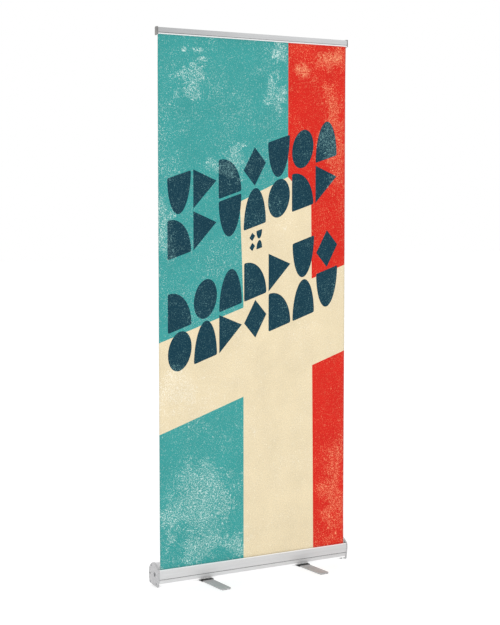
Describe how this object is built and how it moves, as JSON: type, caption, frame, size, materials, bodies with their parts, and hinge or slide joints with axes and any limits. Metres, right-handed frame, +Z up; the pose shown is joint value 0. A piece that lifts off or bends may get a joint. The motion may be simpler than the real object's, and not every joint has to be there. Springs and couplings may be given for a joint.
{
  "type": "roll-up banner stand",
  "caption": "Floor-standing retractable banner: sprung roller in an aluminium cassette, swivel feet, clamping top rail, sectional pole behind and a printed sheet.",
  "frame": {"origin": "on the floor, centre of the footprint, under the middle of the cassette", "axes": "+X along the cassette, -Y towards the printed side, +Z up"},
  "size_m": [0.878, 0.38, 2.12],
  "materials": {
    "extrusion": "satin anodised",
    "end_cap": "satin chrome",
    "steel": "zinc plated",
    "foot": "satin",
    "rail_plastic": "moulded grey",
    "black_plastic": "moulded black",
    "rubber": "matt",
    "print": "matt printed film",
    "leader": "clear film on white",
    "cord": "braided elastic"
  },
  "bodies": {
    "cassette": {"cassette_housing": "extrusion", "left_end_cap": "end_cap", "right_end_cap": "end_cap", "left_cap_screw_top": "steel", "left_cap_screw_front": "steel", "left_cap_screw_rear": "steel", "right_cap_screw_top": "steel", "right_cap_screw_front": "steel", "right_cap_screw_rear": "steel", "idler_pin": "steel", "banner_graphic": "print", "pole_socket": "black_plastic", "left_pivot_screw": "steel", "left_pivot_washer": "steel", "left_pivot_nut": "steel", "right_pivot_screw": "steel", "right_pivot_washer": "steel", "right_pivot_nut": "steel", "left_front_stud": "rubber", "left_rear_stud": "rubber", "right_front_stud": "rubber", "right_rear_stud": "rubber"},
    "roller": {"roller_tube": "extrusion", "leader_wrap": "leader", "drive_plug": "black_plastic", "idler_plug": "black_plastic", "torsion_spring": "steel"},
    "spindle": {"tension_spindle": "steel"},
    "rail": {"rail_back": "extrusion", "left_rail_cap": "rail_plastic", "right_rail_cap": "rail_plastic", "rail_clip": "black_plastic"},
    "jaw": {"rail_front_jaw": "extrusion"},
    "lower_pole": {"pole_lower": "extrusion", "lower_ferrule": "steel", "pole_foot_plug": "black_plastic", "shock_cord": "cord"},
    "middle_pole": {"pole_middle": "extrusion", "upper_ferrule": "steel"},
    "upper_pole": {"pole_upper": "extrusion", "pole_cap": "black_plastic"},
    "left_foot": {"left_foot_bar": "foot", "left_foot_hub": "black_plastic", "left_front_pad": "rubber", "left_rear_pad": "rubber"},
    "right_foot": {"right_foot_bar": "foot", "right_foot_hub": "black_plastic", "right_front_pad": "rubber", "right_rear_pad": "rubber"}
  },
  "joints": [
    {"name": "rail_drop", "type": "slide", "parent": "cassette", "child": "rail", "axis": [0, 0, 1], "range_m": [-1.99, 0], "deforming": ["banner_graphic"]},
    {"name": "roller_spin", "type": "hinge", "parent": "cassette", "child": "roller", "pos_m": [0, -0.0101, 0.048], "axis": [1, 0, 0], "range_deg": [0, 5735]},
    {"name": "jaw_open", "type": "hinge", "parent": "rail", "child": "jaw", "pos_m": [0, -0.0285, 2.117], "axis": [-1, 0, 0], "range_deg": [0, 50]},
    {"name": "spindle_turn", "type": "hinge", "parent": "cassette", "child": "spindle", "pos_m": [-0.38, -0.0101, 0.048], "axis": [1, 0, 0], "continuous": true},
    {"name": "pole_lift", "type": "slide", "parent": "cassette", "child": "lower_pole", "axis": [0, 0, 1], "range_m": [0, 0.072]},
    {"name": "middle_pull", "type": "slide", "parent": "lower_pole", "child": "middle_pole", "axis": [0, 0, 1], "range_m": [0, 0.052]},
    {"name": "upper_pull", "type": "slide", "parent": "middle_pole", "child": "upper_pole", "axis": [0, 0, 1], "range_m": [0, 0.052]},
    {"name": "left_foot_swivel", "type": "hinge", "parent": "cassette", "child": "left_foot", "pos_m": [-0.224, 0, 0.003], "axis": [0, 0, 1], "range_deg": [0, 90]},
    {"name": "right_foot_swivel", "type": "hinge", "parent": "cassette", "child": "right_foot", "pos_m": [0.224, 0, 0.003], "axis": [0, 0, 1], "range_deg": [-90, 0]}
  ],
  "couplings": [
    {"joint": "roller_spin", "follows": "rail_drop", "rad_per_m": -50.25}
  ]
}
